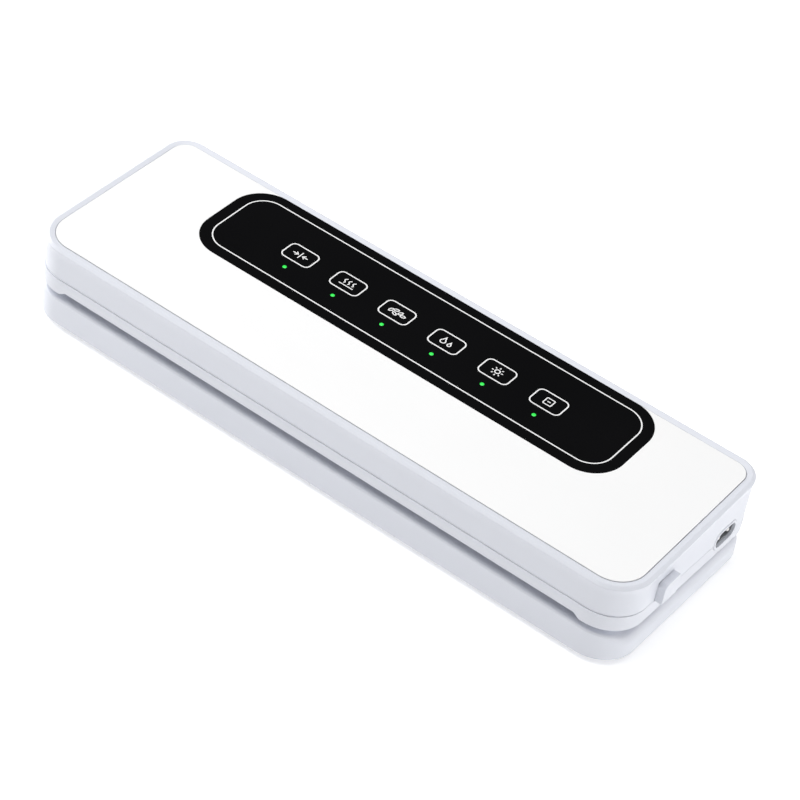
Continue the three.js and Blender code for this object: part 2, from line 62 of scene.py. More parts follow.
# ---- Sizes read from the frame, in millimetres ----
_, X_RIM, _, Y_RIM, SHELL_LOW, _ = span("lid_shell")
_, X_WALL, _, Y_WALL, Z_BASE, _ = span("base_shell")
PLATE = span("top_panel")
OVERLAY = span("control_overlay")
Z_LID = span("ptfe_tape")[4]
BAR_Y = sum(span("ptfe_tape")[2:4]) / 2
BAR_HALF = span("heating_bar")[1]
VAC_Y = sum(span("vacuum_gasket_lower")[2:4]) / 2
HINGE_X0, HINGE_X1, _, _, HINGE_Z0, HINGE_Z1 = span("hinge_pin_right")
HINGE_X = (HINGE_X0 + HINGE_X1) / 2
HINGE_Y = sum(span("hinge_pin_right")[2:4]) / 2
HINGE_Z = (HINGE_Z0 + HINGE_Z1) / 2
KEYS = ("vacuum", "seal", "grain", "moist", "dry", "stop")
INDICATORS = [f"indicator_{k}" for k in range(1, 7)]
CORNERS = ("front_left", "front_right", "rear_left", "rear_right")

# ---- Sizes of the moulded shapes, in millimetres ----
# The corners of the rim, the rim's reach past the wall, and the wall's thickness.
R_RIM_FRONT, R_RIM_BACK = 20.6, 13.5
WALL_INSET = X_RIM - X_WALL
WALL = 2.4
# The joint between the lid's shells: level at the front, half its width, fall per millimetre of depth.
Z_SEAM = SHELL_LOW - 0.15
SEAM_HALF = 0.08
SEAM_FALL = 0.029
# The slope of the top, and the level above which all of it applies.
WEDGE, Z_WEDGE = 0.042, 40.0
# Levels of the lid at its front edge, and the inset of the step that holds the plate.
Z_DECK, Z_RECESS, Z_PANEL, Z_RIM = 46.0, 48.2, 49.7, 49.9
RIM_STEP = X_RIM - PLATE[1] - 0.4
# The base: its top, the ledge under the bag mouth, and the radius and level of the round along its sides.
Z_BASE_TOP, Z_LEDGE, SHOULDER, Z_SHOULDER = 22.6, 19.2, 6.2, 17.2
# The bag mouth: its roof, half its length, its sloped ends, and the lines where roof and ledge stop.
Z_MOUTH = 25.2
MOUTH_HALF, MOUTH_RAMP = 157.2, 4.6
MOUTH_BACK = -44.0
LEDGE_BACK = BAR_Y - 5
# The top of the lower cover's floor, and the width of the band where both shells' profiles end.
Z_FLOOR = 28.0
BAND = 9.6
# Cutters reach past the surface they open by OVER, or start and end at these levels: below the lid, above the
# base, inside the lid, above the lid. Cutters in the end wall run out to CUT_END.
OVER, CUT_LOW, CUT_BASE, CUT_MID, CUT_HIGH, CUT_END = 6.0, 20.0, 30.0, 40.0, 60.0, 200.0
THROUGH_TOP = [(0, CUT_MID), (0, CUT_HIGH)]


# ---- Mesh building ----
def new_object(name, verts, faces):
    """A closed mesh from points in millimetres, doubles merged and faces turned outwards."""
    bm = bmesh.new()
    made = [bm.verts.new(Vector(v) * MM) for v in verts]
    for face in faces:
        bm.faces.new([made[i] for i in face])
    bmesh.ops.remove_doubles(bm, verts=bm.verts, dist=1e-8)
    bmesh.ops.dissolve_degenerate(bm, edges=bm.edges, dist=1e-8)
    bmesh.ops.recalc_face_normals(bm, faces=bm.faces)
    mesh = bpy.data.meshes.new(name)
    bm.to_mesh(mesh)
    bm.free()
    obj = bpy.data.objects.new(name, mesh)
    scene.collection.objects.link(obj)
    return obj


def rounded(x0, x1, y0, y1, r_front, r_back=None, steps=14, cuts=()):
    """Points (x, y, normal x, normal y) round a rounded rectangle, starting with the cuts along its front."""
    r_back = r_front if r_back is None else r_back
    points = [(x, y0, 0.0, -1.0) for x in sorted(cuts)]
    corners = ((x1 - r_front, y0 + r_front, r_front, -90), (x1 - r_back, y1 - r_back, r_back, 0),
               (x0 + r_back, y1 - r_back, r_back, 90), (x0 + r_front, y0 + r_front, r_front, 180))
    for cx, cy, r, start in corners:
        for k in range(steps + 1):
            a = math.radians(start + 90 * k / steps)
            points.append((cx + r * math.cos(a), cy + r * math.sin(a), math.cos(a), math.sin(a)))
    return points


def circle(cx, cy, r, steps):
    """Points (x, y, normal x, normal y) round a circle."""
    turn = [2 * math.pi * k / steps for k in range(steps)]
    return [(cx + r * math.cos(a), cy + r * math.sin(a), math.cos(a), math.sin(a)) for a in turn]


def middle(x0, x1, y0, y1):
    return (x0 + x1) / 2, (y0 + y1) / 2


def sweep(name, outline, profile, closed=False):
    """Draws a profile of (inset, z) pairs round an outline and caps both its ends, unless it is closed.

    The profile may be a function of the place."""
    pairs = profile if callable(profile) else (lambda x, y: profile)
    columns = [[(x - nx * i, y - ny * i, z) for i, z in pairs(x, y)] for x, y, nx, ny in outline]
    count, n = len(columns), len(columns[0])
    faces = []
    for a in range(count):
        b = (a + 1) % count
        for k in range(n if closed else n - 1):
            j = (k + 1) % n
            faces.append((a * n + k, b * n + k, b * n + j, a * n + j))
    if not closed:
        faces.append([a * n for a in reversed(range(count))])
        faces.append([a * n + n - 1 for a in range(count)])
    return new_object(name, [p for column in columns for p in column], faces)


def stepped(name, outline, profile, cuts, y_back, z_flat):
    """A sweep whose last ring is closed by a flat face at z_flat.

    Along the cuts the ring has another level, which goes back to y_back and meets the flat face in a step."""
    columns = [[(x - nx * i, y - ny * i, z) for i, z in profile(x, y)] for x, y, nx, ny in outline]
    count, n = len(columns), len(columns[0])
    verts = [p for column in columns for p in column]
    faces = [[a * n for a in reversed(range(count))]]
    for a in range(count):
        b = (a + 1) % count
        faces += [(a * n + k, b * n + k, b * n + k + 1, a * n + k + 1) for k in range(n - 1)]
    front = [count - 1] + list(range(len(cuts) + 1))
    low, high = [], []
    for a in front:
        x, _, z = columns[a][-1]
        low.append(len(verts))
        verts.append((x, y_back, z))
        high.append(len(verts))
        verts.append((x, y_back, z_flat))
    for k in range(len(front) - 1):
        a, b = front[k] * n + n - 1, front[k + 1] * n + n - 1
        faces.append((a, b, low[k + 1], low[k]))
        if any(abs(verts[i][2] - z_flat) > 5e-7 for i in (low[k], low[k + 1])):
            faces.append((low[k], low[k + 1], high[k + 1], high[k]))
    faces.append(high + [a * n + n - 1 for a in range(len(cuts), count)])
    return new_object(name, verts, faces)


def arc(cx, cz, r, start, end, steps):
    """Points on a circle in a profile plane; angles in degrees, 0 towards the object's middle, 90 up."""
    turn = [math.radians(start + (end - start) * k / steps) for k in range(steps + 1)]
    return [(cx + r * math.cos(a), cz + r * math.sin(a)) for a in turn]


def prism(name, points, low, high, axis="z", bevel=0.0, segments=2):
    """A polygon drawn along an axis, with all its edges rounded by bevel."""
    place = {"x": lambda u, v, w: (w, u, v),
             "y": lambda u, v, w: (u, w, v),
             "z": lambda u, v, w: (u, v, w)}[axis]
    n = len(points)
    verts = [place(u, v, w) for w in (low, high) for u, v in points]
    faces = [list(range(n))[::-1], list(range(n, 2 * n))]
    faces += [(k, (k + 1) % n, n + (k + 1) % n, n + k) for k in range(n)]
    obj = new_object(name, verts, faces)
    if bevel:
        bm = bmesh.new()
        bm.from_mesh(obj.data)
        sharp = [e for e in bm.edges if e.calc_face_angle(0) > math.radians(20)]
        bmesh.ops.bevel(bm, geom=sharp, offset=bevel * MM, segments=segments, affect="EDGES",
                        profile=0.5, clamp_overlap=True)
        bm.to_mesh(obj.data)
        bm.free()
    return obj


def block(name, x0, x1, y0, y1, z0, z1, bevel=0.0):
    return prism(name, [(x0, y0), (x1, y0), (x1, y1), (x0, y1)], z0, z1, bevel=bevel)


def rod(name, x0, x1, y, z, r, steps=32):
    """A round bar along x."""
    turn = [2 * math.pi * k / steps for k in range(steps)]
    return prism(name, [(y + r * math.cos(a), z + r * math.sin(a)) for a in turn], x0, x1, axis="x")


def lathe(name, profile, x, y, steps):
    """Turns (radius, z) pairs about a vertical line; a radius may be zero."""
    return sweep(name, circle(x, y, 0, steps), [(-r, z) for r, z in profile])


def combine(body, tools, operation="DIFFERENCE"):
    """Cuts the tools out of a body, or joins them to it, and removes them."""
    for tool in tools:
        modifier = body.modifiers.new("combine", "BOOLEAN")
        modifier.operation = operation
        modifier.solver = "EXACT"
        modifier.object = tool
        depsgraph = bpy.context.evaluated_depsgraph_get()
        mesh = bpy.data.meshes.new_from_object(body.evaluated_get(depsgraph))
        body.modifiers.clear()
        old, body.data = body.data, mesh
        bpy.data.meshes.remove(old)
        used = tool.data
        bpy.data.objects.remove(tool)
        bpy.data.meshes.remove(used)
    body.data.name = body.name
    return body


def join(body, other):
    """Puts two separate closed meshes into one object."""
    bm = bmesh.new()
    bm.from_mesh(body.data)
    bm.from_mesh(other.data)
    used = other.data
    bpy.data.objects.remove(other)
    bpy.data.meshes.remove(used)
    bm.to_mesh(body.data)
    bm.free()


def mirrored(obj, name):
    """A copy reflected to the other end."""
    bm = bmesh.new()
    bm.from_mesh(obj.data)
    bmesh.ops.scale(bm, vec=(-1, 1, 1), verts=bm.verts)
    bmesh.ops.reverse_faces(bm, faces=bm.faces)
    mesh = bpy.data.meshes.new(name)
    bm.to_mesh(mesh)
    bm.free()
    copy = bpy.data.objects.new(name, mesh)
    scene.collection.objects.link(copy)
    return copy


def wedged(obj):
    """Raises what lies above the seam towards the back, as the CAD does, so that the top slopes."""
    for vertex in obj.data.vertices:
        share = max(0.0, min(1.0, (vertex.co.z / MM - Z_SEAM) / (Z_WEDGE - Z_SEAM)))
        vertex.co.z += WEDGE * (vertex.co.y + Y_RIM * MM) * share
    return obj


def dressed(obj, body, look, replaces=(), angle=32):
    """Gives a piece its shading, material and body, and hides the CAD nodes it replaces.

    Edges sharper than the angle stay crisp; the rest are smooth."""
    mesh = obj.data
    bm = bmesh.new()
    bm.from_mesh(mesh)
    for face in bm.faces:
        face.smooth = True
    for edge in bm.edges:
        edge.smooth = len(edge.link_faces) == 2 and edge.calc_face_angle(0) < math.radians(angle)
    bm.to_mesh(mesh)
    bm.free()
    weighted = obj.modifiers.new("normals", "WEIGHTED_NORMAL")
    weighted.keep_sharp = True
    mesh.materials.clear()
    mesh.materials.append(look)
    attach(obj, body)
    if replaces:
        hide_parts(*replaces)
    return obj


# ---- Materials ----
def node(tree, kind, inputs=None, **settings):
    made = tree.nodes.new(kind)
    for key, value in settings.items():
        setattr(made, key, value)
    for key, value in (inputs or {}).items():
        if isinstance(value, bpy.types.NodeSocket):
            tree.links.new(value, made.inputs[key])
        else:
            made.inputs[key].default_value = value
    return made


CLOUD_SCALE = 18.0
RELIEF_DEPTH = 0.0002
COAT_ROUGHNESS = 0.08
SCATTER = (0.002, 0.002, 0.002)


def look(name, colour, roughness, grain, shade, bump=0.02, spread=0.05, metallic=0.0, specular=0.5,
         coat=0.0, subsurface=0.0, pattern="noise", detail=3.0, glow=0.0):
    """A procedural finish: a cloudy and a fine pattern vary colour and roughness; the fine one adds relief.

    grain is the fine pattern's frequency per metre along x, y and z. shade and spread say how far colour and
    roughness move either way."""
    made = bpy.data.materials.new(name)
    made.use_nodes = True
    tree = made.node_tree
    shader = tree.nodes["Principled BSDF"]
    place = node(tree, "ShaderNodeTexCoord").outputs["Object"]
    fine_place = node(tree, "ShaderNodeMapping", {"Vector": place, "Scale": grain}).outputs["Vector"]
    clouds = node(tree, "ShaderNodeTexNoise",
                  {"Vector": place, "Scale": CLOUD_SCALE, "Detail": 2.0}).outputs["Fac"]
    if pattern == "noise":
        fine = node(tree, "ShaderNodeTexNoise",
                    {"Vector": fine_place, "Scale": 1.0, "Detail": detail}).outputs["Fac"]
    elif pattern == "cells":
        fine = node(tree, "ShaderNodeTexVoronoi", {"Vector": fine_place, "Scale": 1.0}).outputs["Distance"]
    else:
        across, along = (node(tree, "ShaderNodeTexWave",
                              {"Vector": fine_place, "Scale": 1.0, "Distortion": 0.4},
                              bands_direction=direction).outputs["Fac"] for direction in "XY")
        fine = node(tree, "ShaderNodeMath", {0: across, 1: along}, operation="MULTIPLY").outputs["Value"]
    both = node(tree, "ShaderNodeMath", {0: clouds, 1: fine}, operation="ADD").outputs["Value"]
    half = node(tree, "ShaderNodeMath", {0: both, 1: 0.5}, operation="MULTIPLY").outputs["Value"]
    darker = [max(0.0, c * (1 - shade)) for c in colour] + [1.0]
    lighter = [min(1.0, c * (1 + shade)) for c in colour] + [1.0]
    mixed = node(tree, "ShaderNodeMix", {0: half, 6: darker, 7: lighter}, data_type="RGBA").outputs[2]
    tree.links.new(mixed, shader.inputs["Base Color"])
    rough = node(tree, "ShaderNodeMapRange", {"Value": half, "From Min": 0.3, "From Max": 0.7,
                                              "To Min": max(0.02, roughness - spread),
                                              "To Max": min(1.0, roughness + spread)}).outputs["Result"]
    tree.links.new(rough, shader.inputs["Roughness"])
    relief = node(tree, "ShaderNodeBump",
                  {"Strength": bump, "Distance": RELIEF_DEPTH, "Height": fine}).outputs["Normal"]
    tree.links.new(relief, shader.inputs["Normal"])
    shader.inputs["Metallic"].default_value = metallic
    shader.inputs["Specular IOR Level"].default_value = specular
    shader.inputs["Coat Weight"].default_value = coat
    shader.inputs["Coat Roughness"].default_value = COAT_ROUGHNESS
    if subsurface:
        shader.inputs["Subsurface Weight"].default_value = subsurface
        shader.inputs["Subsurface Radius"].default_value = SCATTER
    if glow:
        tree.links.new(mixed, shader.inputs["Emission Color"])
        shader.inputs["Emission Strength"].default_value = glow
    return made


def even(frequency):
    """The same fineness along all three axes."""
    return (frequency,) * 3


BODY = look("body_plastic", (0.745, 0.764, 0.826), 0.38, even(2200), 0.012, bump=0.05)
COVER = look("cover_plastic", (0.740, 0.757, 0.816), 0.42, even(2200), 0.012, bump=0.05)
PANEL = look("brushed_plate", (0.95, 0.95, 0.95), 0.34, (28, 2600, 28), 0.012, bump=0.05, spread=0.06,
             detail=5.0)
GLOSS = look("gloss_overlay", (0.0045, 0.0045, 0.005), 0.16, even(1500), 0.25, bump=0.01, spread=0.03,
             specular=0.12)
PRINT = look("screen_print", (0.93, 0.93, 0.93), 0.5, even(4000), 0.06, bump=0.1)
LENS = look("lit_lens", (0.03, 0.55, 0.07), 0.2, even(1500), 0.2, glow=0.8)
RUBBER = look("foot_rubber", (0.025, 0.025, 0.027), 0.75, even(2600), 0.2, bump=0.3)
SILICONE = look("strip_silicone", (0.47, 0.48, 0.50), 0.55, (500, 2600, 2600), 0.06, bump=0.15,
                subsurface=0.15)
FOAM = look("gasket_foam", (0.045, 0.047, 0.05), 0.9, even(2400), 0.35, bump=0.6, pattern="cells")
STEEL = look("zinc_steel", (0.62, 0.63, 0.65), 0.32, (300, 1800, 1800), 0.08, bump=0.08, metallic=1.0)
ALUMINIUM = look("extruded_aluminium", (0.75, 0.76, 0.78), 0.36, (20, 2400, 2400), 0.05, bump=0.12,
                 metallic=1.0)
NICKEL = look("pin_nickel", (0.90, 0.89, 0.87), 0.4, (200, 1500, 1500), 0.05, bump=0.04, metallic=0.6)
BOARD = look("circuit_board", (0.02, 0.13, 0.06), 0.42, even(1200), 0.25, bump=0.1, pattern="weave", coat=0.4)
DARK = look("dark_moulding", (0.028, 0.029, 0.032), 0.48, even(1800), 0.15, bump=0.15)
SOCKET = look("socket_moulding", (0.25, 0.26, 0.28), 0.45, even(2400), 0.1, bump=0.1)
LAMINATIONS = look("laminated_iron", (0.16, 0.155, 0.15), 0.5, (30, 1800, 30), 0.3, bump=0.5, metallic=0.8)
TAPE = look("woven_tape", (0.46, 0.30, 0.16), 0.5, even(1600), 0.22, bump=0.35, pattern="weave")
HOSE = look("clear_hose", (0.70, 0.73, 0.75), 0.25, (60, 900, 900), 0.04, bump=0.05, subsurface=0.3)
WIRE = look("heating_strip", (0.42, 0.41, 0.40), 0.35, (40, 3000, 3000), 0.12, bump=0.1, metallic=1.0)
FLOOR = look("studio_floor", (0.90, 0.90, 0.90), 0.8, even(60), 0.01, bump=0.01, specular=0.1, glow=0.42)


# ---- Base ----
def ease(t):
    """Goes smoothly from 0 to 1 as t does."""
    t = max(0.0, min(1.0, t))
    return t * t * (3 - 2 * t)


def mouth_share(x):
    """1 along the bag mouth, 0 beyond its sloped ends."""
    return 1 - ease((abs(x) - MOUTH_HALF) / MOUTH_RAMP)


def on_front(y):
    return y < -Y_WALL + 0.01


RAMP_STEPS = 12
ramp = [MOUTH_HALF + MOUTH_RAMP * k / RAMP_STEPS for k in range(RAMP_STEPS + 1)]
MOUTH_CUTS = sorted([-x for x in ramp] + ramp + [-110, -55, 0, 55, 110])
wall_outline = rounded(-X_WALL, X_WALL, -Y_WALL, Y_WALL, R_RIM_FRONT - WALL_INSET, R_RIM_BACK - WALL_INSET,
                       cuts=MOUTH_CUTS)
# The foot of the wall as (inset, height above its lowest point).
FOOT_EDGE = [(2.3, 0.0), (0.8, 0.0), (0.35, 0.15), (0.08, 0.45), (0.0, 0.9)]
# The inner side of the gutter: how far in past the round, and the share of its depth.
INNER_RISE = [(0.2, 0.07), (0.45, 0.26), (0.65, 0.48), (0.8, 0.69), (1.0, 0.86), (1.3, 0.98), (1.7, 1.0)]
# The top edge of the base as (inset, z): at the sides and back, and at the front. Both have as many points.
SIDE_EDGE = [(SHOULDER + i, Z_SHOULDER - SHOULDER + z) for i, z in arc(0.0, 0.0, SHOULDER, 180, 90, 12)]
SIDE_EDGE += [(SHOULDER + i, Z_SHOULDER + share * (Z_BASE_TOP - Z_SHOULDER)) for i, share in INNER_RISE]
FRONT_EDGE = [(0.0, 14.0), (0.0, 16.5), (0.0, 18.0)]
FRONT_EDGE += [(i, Z_LEDGE - 1 + z) for i, z in arc(1.0, 0.0, 1.0, 180, 90, 7)]
FRONT_EDGE += [(3.0, Z_LEDGE), (5.6, Z_LEDGE)]
FRONT_EDGE += [(5.9, 19.3), (6.3, 19.8), (6.5, 20.8), (6.7, 21.8), (7.0, 22.4)]
FRONT_EDGE += [(7.4, Z_BASE_TOP), (8.1, Z_BASE_TOP)]
FRONT_BLEND = 13.0


def base_profile(x, y):
    """A wide round and then a gutter at the sides and back, a small round and then a ledge at the front."""
    top = Z_BASE_TOP
    if on_front(y):
        top += (Z_LEDGE - Z_BASE_TOP) * mouth_share(x)
    points = [(2.5, 10.0), (2.5, Z_BASE + 0.2)] + [(i, Z_BASE + z) for i, z in FOOT_EDGE]
    front = 1 - ease((y + Y_WALL) / FRONT_BLEND)
    for (side_i, side_z), (i, z) in zip(SIDE_EDGE, FRONT_EDGE):
        points.append((side_i + (i - side_i) * front, side_z + (min(z, top) - side_z) * front))
    return points + [(BAND, top)]


def pocket(name, x0, x1, y0, y1, r, floor, top, lip=0.4, foot=0.6):
    """A cutter for a recess with a rounded lip and foot. The floor may be above or below the top."""
    s = 1 if top > floor else -1
    profile = [(i, floor + s * (z - floor)) for i, z in arc(foot, floor + foot, foot, 270, 180, 4)]
    profile += [(-lip + i, top - s * (lip - z)) for i, z in arc(0, 0, lip, 0, 90, 4)]
    profile.append((-lip, top + s * OVER))
    return sweep(name, rounded(x0, x1, y0, y1, max(r, foot + 0.05), steps=8), profile)


def groove(name, length, depth, width, radius, y_mid, floor, top, lip=0.3):
    """A cutter for the channel that holds a gasket."""
    s = 1 if top > floor else -1
    profile = [(width, floor), (0, floor), (0, top - s * lip), (-lip, top), (-lip, top + s * OVER),
               (width + lip, top + s * OVER), (width + lip, top), (width, top - s * lip)]
    outline = rounded(-length / 2, length / 2, y_mid - depth / 2, y_mid + depth / 2, radius, steps=10)
    return sweep(name, outline, profile, closed=True)


BUTTON = span("latch_button_right")
HOOK_Y = (BUTTON[2] + BUTTON[3]) / 2
# The slots that the release hooks pass through: their two sides and half their length.
SLOT_X0, SLOT_X1, SLOT_HALF = 169.0, 176.6, 6.0
# A hinge: half the lug's width, the outer side of the ears, the radii of the knuckles and of the pin's bore.
LUG_HALF, EAR_OUT, LUG_RADIUS, BORE_RADIUS = 5.0, 11.5, 3.2, 1.6
EAR_FRONT, EAR_LOW = 51.2, 13.0
BORE_REACH = 20.0
# Room round a knuckle in the other shell: in the base for the lug, in the lid for the ears, and at each side.
LUG_ROOM, EAR_ROOM, SIDE_ROOM = 4.3, 3.9, 0.5
# Half-lengths, floor and corner radius of the vacuum trough; the gasket, and the play of its groove.
TROUGH_X, TROUGH_Y, TROUGH_FLOOR, TROUGH_R = 146.0, 21.0, 12.5, 8.0
GASKET_X, GASKET_Y, GASKET_W, GASKET_R = 158.0, 30.0, 5.0, 12.0
PLAY = 0.3
# The seal bar's channels are longer than the bar by BAR_ROOM at each end.
BAR_ROOM = 2.5
# The lid switch stands on this spot.
SWITCH_X, SWITCH_Y = -150.0, 42.0


def gasket_groove(name, floor, top):
    return groove(name, 2 * (GASKET_X + PLAY), 2 * (GASKET_Y + PLAY), GASKET_W + 2 * PLAY, GASKET_R + PLAY,
                  VAC_Y, floor, top)


def both_ends(x0, x1):
    """A stretch of x at the right end and its mirror image at the left: (side, low, high)."""
    return [(-1, -x1, -x0), (1, x0, x1)]


base = stepped("base_housing", wall_outline, base_profile, MOUTH_CUTS, LEDGE_BACK, Z_BASE_TOP)
cutters = [
    pocket("trough", -TROUGH_X, TROUGH_X, VAC_Y - TROUGH_Y, VAC_Y + TROUGH_Y, TROUGH_R, TROUGH_FLOOR,
           Z_BASE_TOP, lip=0.8, foot=2.5),
    gasket_groove("groove", Z_BASE_TOP - 3.4, Z_BASE_TOP),
    block("channel", -BAR_HALF - BAR_ROOM, BAR_HALF + BAR_ROOM, BAR_Y - 5.2, BAR_Y + 5, 17.6, CUT_BASE),
]
for side, x0, x1 in both_ends(SLOT_X0, SLOT_X1):
    cutters.append(pocket(f"keeper{side}", x0, x1, HOOK_Y - SLOT_HALF, HOOK_Y + SLOT_HALF, 0.7, 5.0,
                          Z_BASE_TOP, lip=0.5, foot=0.5))
combine(base, cutters)
for side in (-1, 1):
    x = side * HINGE_X
    ears = block(f"ears{side}", x - EAR_OUT, x + EAR_OUT, EAR_FRONT, Y_WALL, EAR_LOW, HINGE_Z, bevel=0.4)
    barrel = rod(f"barrel{side}", x - EAR_OUT, x + EAR_OUT, HINGE_Y, HINGE_Z, LUG_RADIUS, 40)
    combine(base, [ears, barrel], "UNION")
    left, right = x - LUG_HALF - SIDE_ROOM, x + LUG_HALF + SIDE_ROOM
    tools = [rod(f"room{side}", left, right, HINGE_Y, HINGE_Z, LUG_ROOM, 40),
             block(f"above{side}", left, right, HINGE_Y - LUG_ROOM, Y_RIM + 2, HINGE_Z, CUT_BASE),
             rod(f"bore{side}", x - BORE_REACH, x + BORE_REACH, HINGE_Y, HINGE_Z, BORE_RADIUS, 24)]
    combine(base, tools)
rib = block("switch_rib", SWITCH_X - 2, SWITCH_X + 2, SWITCH_Y - 2, SWITCH_Y + 2, 22, 27, bevel=0.5)
combine(base, [rib], "UNION")
dressed(base, "base", BODY, ["base_shell"])


# ---- Lid: lower cover ----
def seam(y):
    """The joint line between the lid shells falls a little towards the back."""
    return Z_SEAM - SEAM_FALL * max(0.0, y + Y_WALL)


# How far the cover's wall hangs below its underside at the ends: it starts quickly, grows slowly towards the
# back and fades out there.
HANG, HANG_START, HANG_SLOPE = 0.5, 18.0, 0.0175
HANG_END, HANG_FADE = 46.0, 5.0


def cover_profile(x, y):
    """The wall hangs a little below the flat underside at the ends."""
    low = Z_LID
    if on_front(y):
        low += (Z_MOUTH - Z_LID) * mouth_share(x)
    behind = max(0.0, y + Y_WALL)
    hang = HANG * min(1.0, behind / HANG_START) + HANG_SLOPE * behind
    edge = low - hang * (1 - ease((y - HANG_END) / HANG_FADE))
    top = seam(y) - SEAM_HALF
    points = [(WALL, Z_FLOOR), (WALL, top), (0.16, top), (0.05, top - 0.05), (0.0, top - 0.16)]
    points += [(0.5 - i, z) for i, z in arc(0, edge + 0.5, 0.5, 0, -90, 5)]
    return points + [(1.5, edge), (1.7, low), (BAND, low)]


def barrel_outline(half, tall, y, z):
    """The flat oval of the mains inlet, standing in the end wall."""
    points = []
    for sign, start in ((1, -90), (-1, 90)):
        for k in range(17):
            a = math.radians(start + 180 * k / 16)
            points.append((y + sign * (half - tall) + tall * math.cos(a), z + tall * math.sin(a)))
    return points


# The mains inlet's middle, and half the length and height of its frame.
INLET_Y, INLET_Z, INLET_HALF, INLET_TALL = 31.2, 30.5, 10.0, 5.8
INLET_GAP, INLET_INSIDE = 0.2, 165.0
# The face of a release tab: its two levels, half its length, and the gap round it.
TAB_LOW, TAB_HIGH, TAB_HALF, TAB_GAP = 30.5, 42.2, 6.3, 0.25


def windows():
    """Cutters for the openings that the release tabs stand in."""
    reach = TAB_HALF + TAB_GAP
    low, high = TAB_LOW - TAB_GAP, TAB_HIGH + TAB_GAP
    return [block(f"window{side}", x0, x1, HOOK_Y - reach, HOOK_Y + reach, low, high)
            for side, x0, x1 in both_ends(X_WALL - 5.5, X_WALL + 6)]


def inlet_hole():
    outline = barrel_outline(INLET_HALF + INLET_GAP, INLET_TALL + INLET_GAP, INLET_Y, INLET_Z)
    return prism("inlet_hole", outline, INLET_INSIDE, CUT_END, axis="x")


def well(name, x, y, r, roof, steps):
    """A cutter for a round hole in the lid's underside, with its edge chamfered."""
    profile = [(0, roof), (0, Z_LID + 0.4), (-0.4, Z_LID), (-0.4, CUT_LOW)]
    return sweep(name, circle(x, y, r, steps), profile)


cover = stepped("lid_cover", wall_outline, cover_profile, MOUTH_CUTS, MOUTH_BACK, Z_LID)
bar_reach = BAR_HALF + BAR_ROOM
cutters = [
    pocket("bar_recess", -bar_reach, bar_reach, BAR_Y - 6, BAR_Y + 6, 0.6, Z_LID + 0.7, Z_LID, lip=0.3,
           foot=0.2),
    block("bar_slot", -bar_reach, bar_reach, BAR_Y - 4.4, BAR_Y + 4.4, CUT_LOW, Z_LID + 3.6),
    gasket_groove("upper_groove", Z_LID + 3.0, Z_LID),
    well("suction", 120, VAC_Y, 1.0, CUT_MID, 20),
    well("relief", -120, VAC_Y, 1.5, CUT_MID, 24),
    block("switch_hole", SWITCH_X - 3.5, SWITCH_X + 3.5, SWITCH_Y - 3.5, SWITCH_Y + 3.5, CUT_LOW, CUT_MID),
    inlet_hole(),
]
for place in CORNERS:
    cutters.append(well(f"well_{place}", *middle(*span(f"lid_screw_{place}")[:4]), 3.2, 26.3, 32))
for side, x0, x1 in both_ends(SLOT_X0, SLOT_X1):
    cutters.append(block(f"hook_slot{side}", x0, x1, HOOK_Y - SLOT_HALF, HOOK_Y + SLOT_HALF,
                         CUT_LOW, CUT_MID))
combine(cover, cutters + windows())
for side in (-1, 1):
    x = side * HINGE_X
    lug = rod(f"lug{side}", x - LUG_HALF, x + LUG_HALF, HINGE_Y, HINGE_Z, LUG_RADIUS, 40)
    web = block(f"web{side}", x - LUG_HALF, x + LUG_HALF, HINGE_Y - LUG_RADIUS, Y_WALL, HINGE_Z, Z_LID + 1)
    combine(cover, [lug, web], "UNION")
    combine(cover, [
        rod(f"ear_l{side}", x - EAR_OUT - SIDE_ROOM, x - LUG_HALF, HINGE_Y, HINGE_Z, EAR_ROOM, 40),
        rod(f"ear_r{side}", x + LUG_HALF, x + EAR_OUT + SIDE_ROOM, HINGE_Y, HINGE_Z, EAR_ROOM, 40),
        rod(f"lug_bore{side}", x - BORE_REACH, x + BORE_REACH, HINGE_Y, HINGE_Z, BORE_RADIUS, 24)])
dressed(cover, "lid", COVER, ["lid_under_cover"])


# ---- Lid: upper shell, with its sloped rim and the recess for the plate ----
# How the wall leans out to the rim, as (distance out from the wall, z); then the rim as (inset, z).
LEAN = [(0.0, 44.0), (0.06, 45.3), (0.25, 46.7), (0.45, 47.7), (0.57, 48.2)]
RIM_EDGE = [(0.02, 48.55), (0.1, 48.7), (0.28, 48.84)]
RIDGE = [(1.5, Z_RIM - 0.17), (1.68, Z_RIM - 0.05), (1.85, Z_RIM), (2.0, Z_RIM - 0.01), (2.2, Z_RIM - 0.06)]
STEP_EDGE = [(RIM_STEP - 0.12, 49.43), (RIM_STEP - 0.03, 49.36), (RIM_STEP, 49.2), (RIM_STEP, Z_RECESS)]


def shell_profile(x, y):
    low = seam(y) + SEAM_HALF
    w = WALL_INSET
    points = [(w + WALL, Z_DECK), (w + WALL, low), (w + 0.16, low), (w + 0.05, low + 0.05), (w, low + 0.16)]
    return points + [(w - out, z) for out, z in LEAN] + RIM_EDGE + RIDGE + STEP_EDGE


rim_outline = rounded(-X_RIM, X_RIM, -Y_RIM, Y_RIM, R_RIM_FRONT, R_RIM_BACK)
shell = wedged(sweep("lid_housing", rim_outline, shell_profile))
cutters = [inlet_hole()] + windows()
for name in KEYS:
    cutters.append(sweep(f"stem_{name}", circle(*middle(*span(f"key_{name}")[:4]), 2.7, 20), THROUGH_TOP))
for name in INDICATORS:
    cutters.append(sweep(f"light_{name}", circle(*middle(*span(name)[:4]), 1.6, 16), THROUGH_TOP))
combine(shell, cutters)
dressed(shell, "lid", BODY, ["lid_shell"])

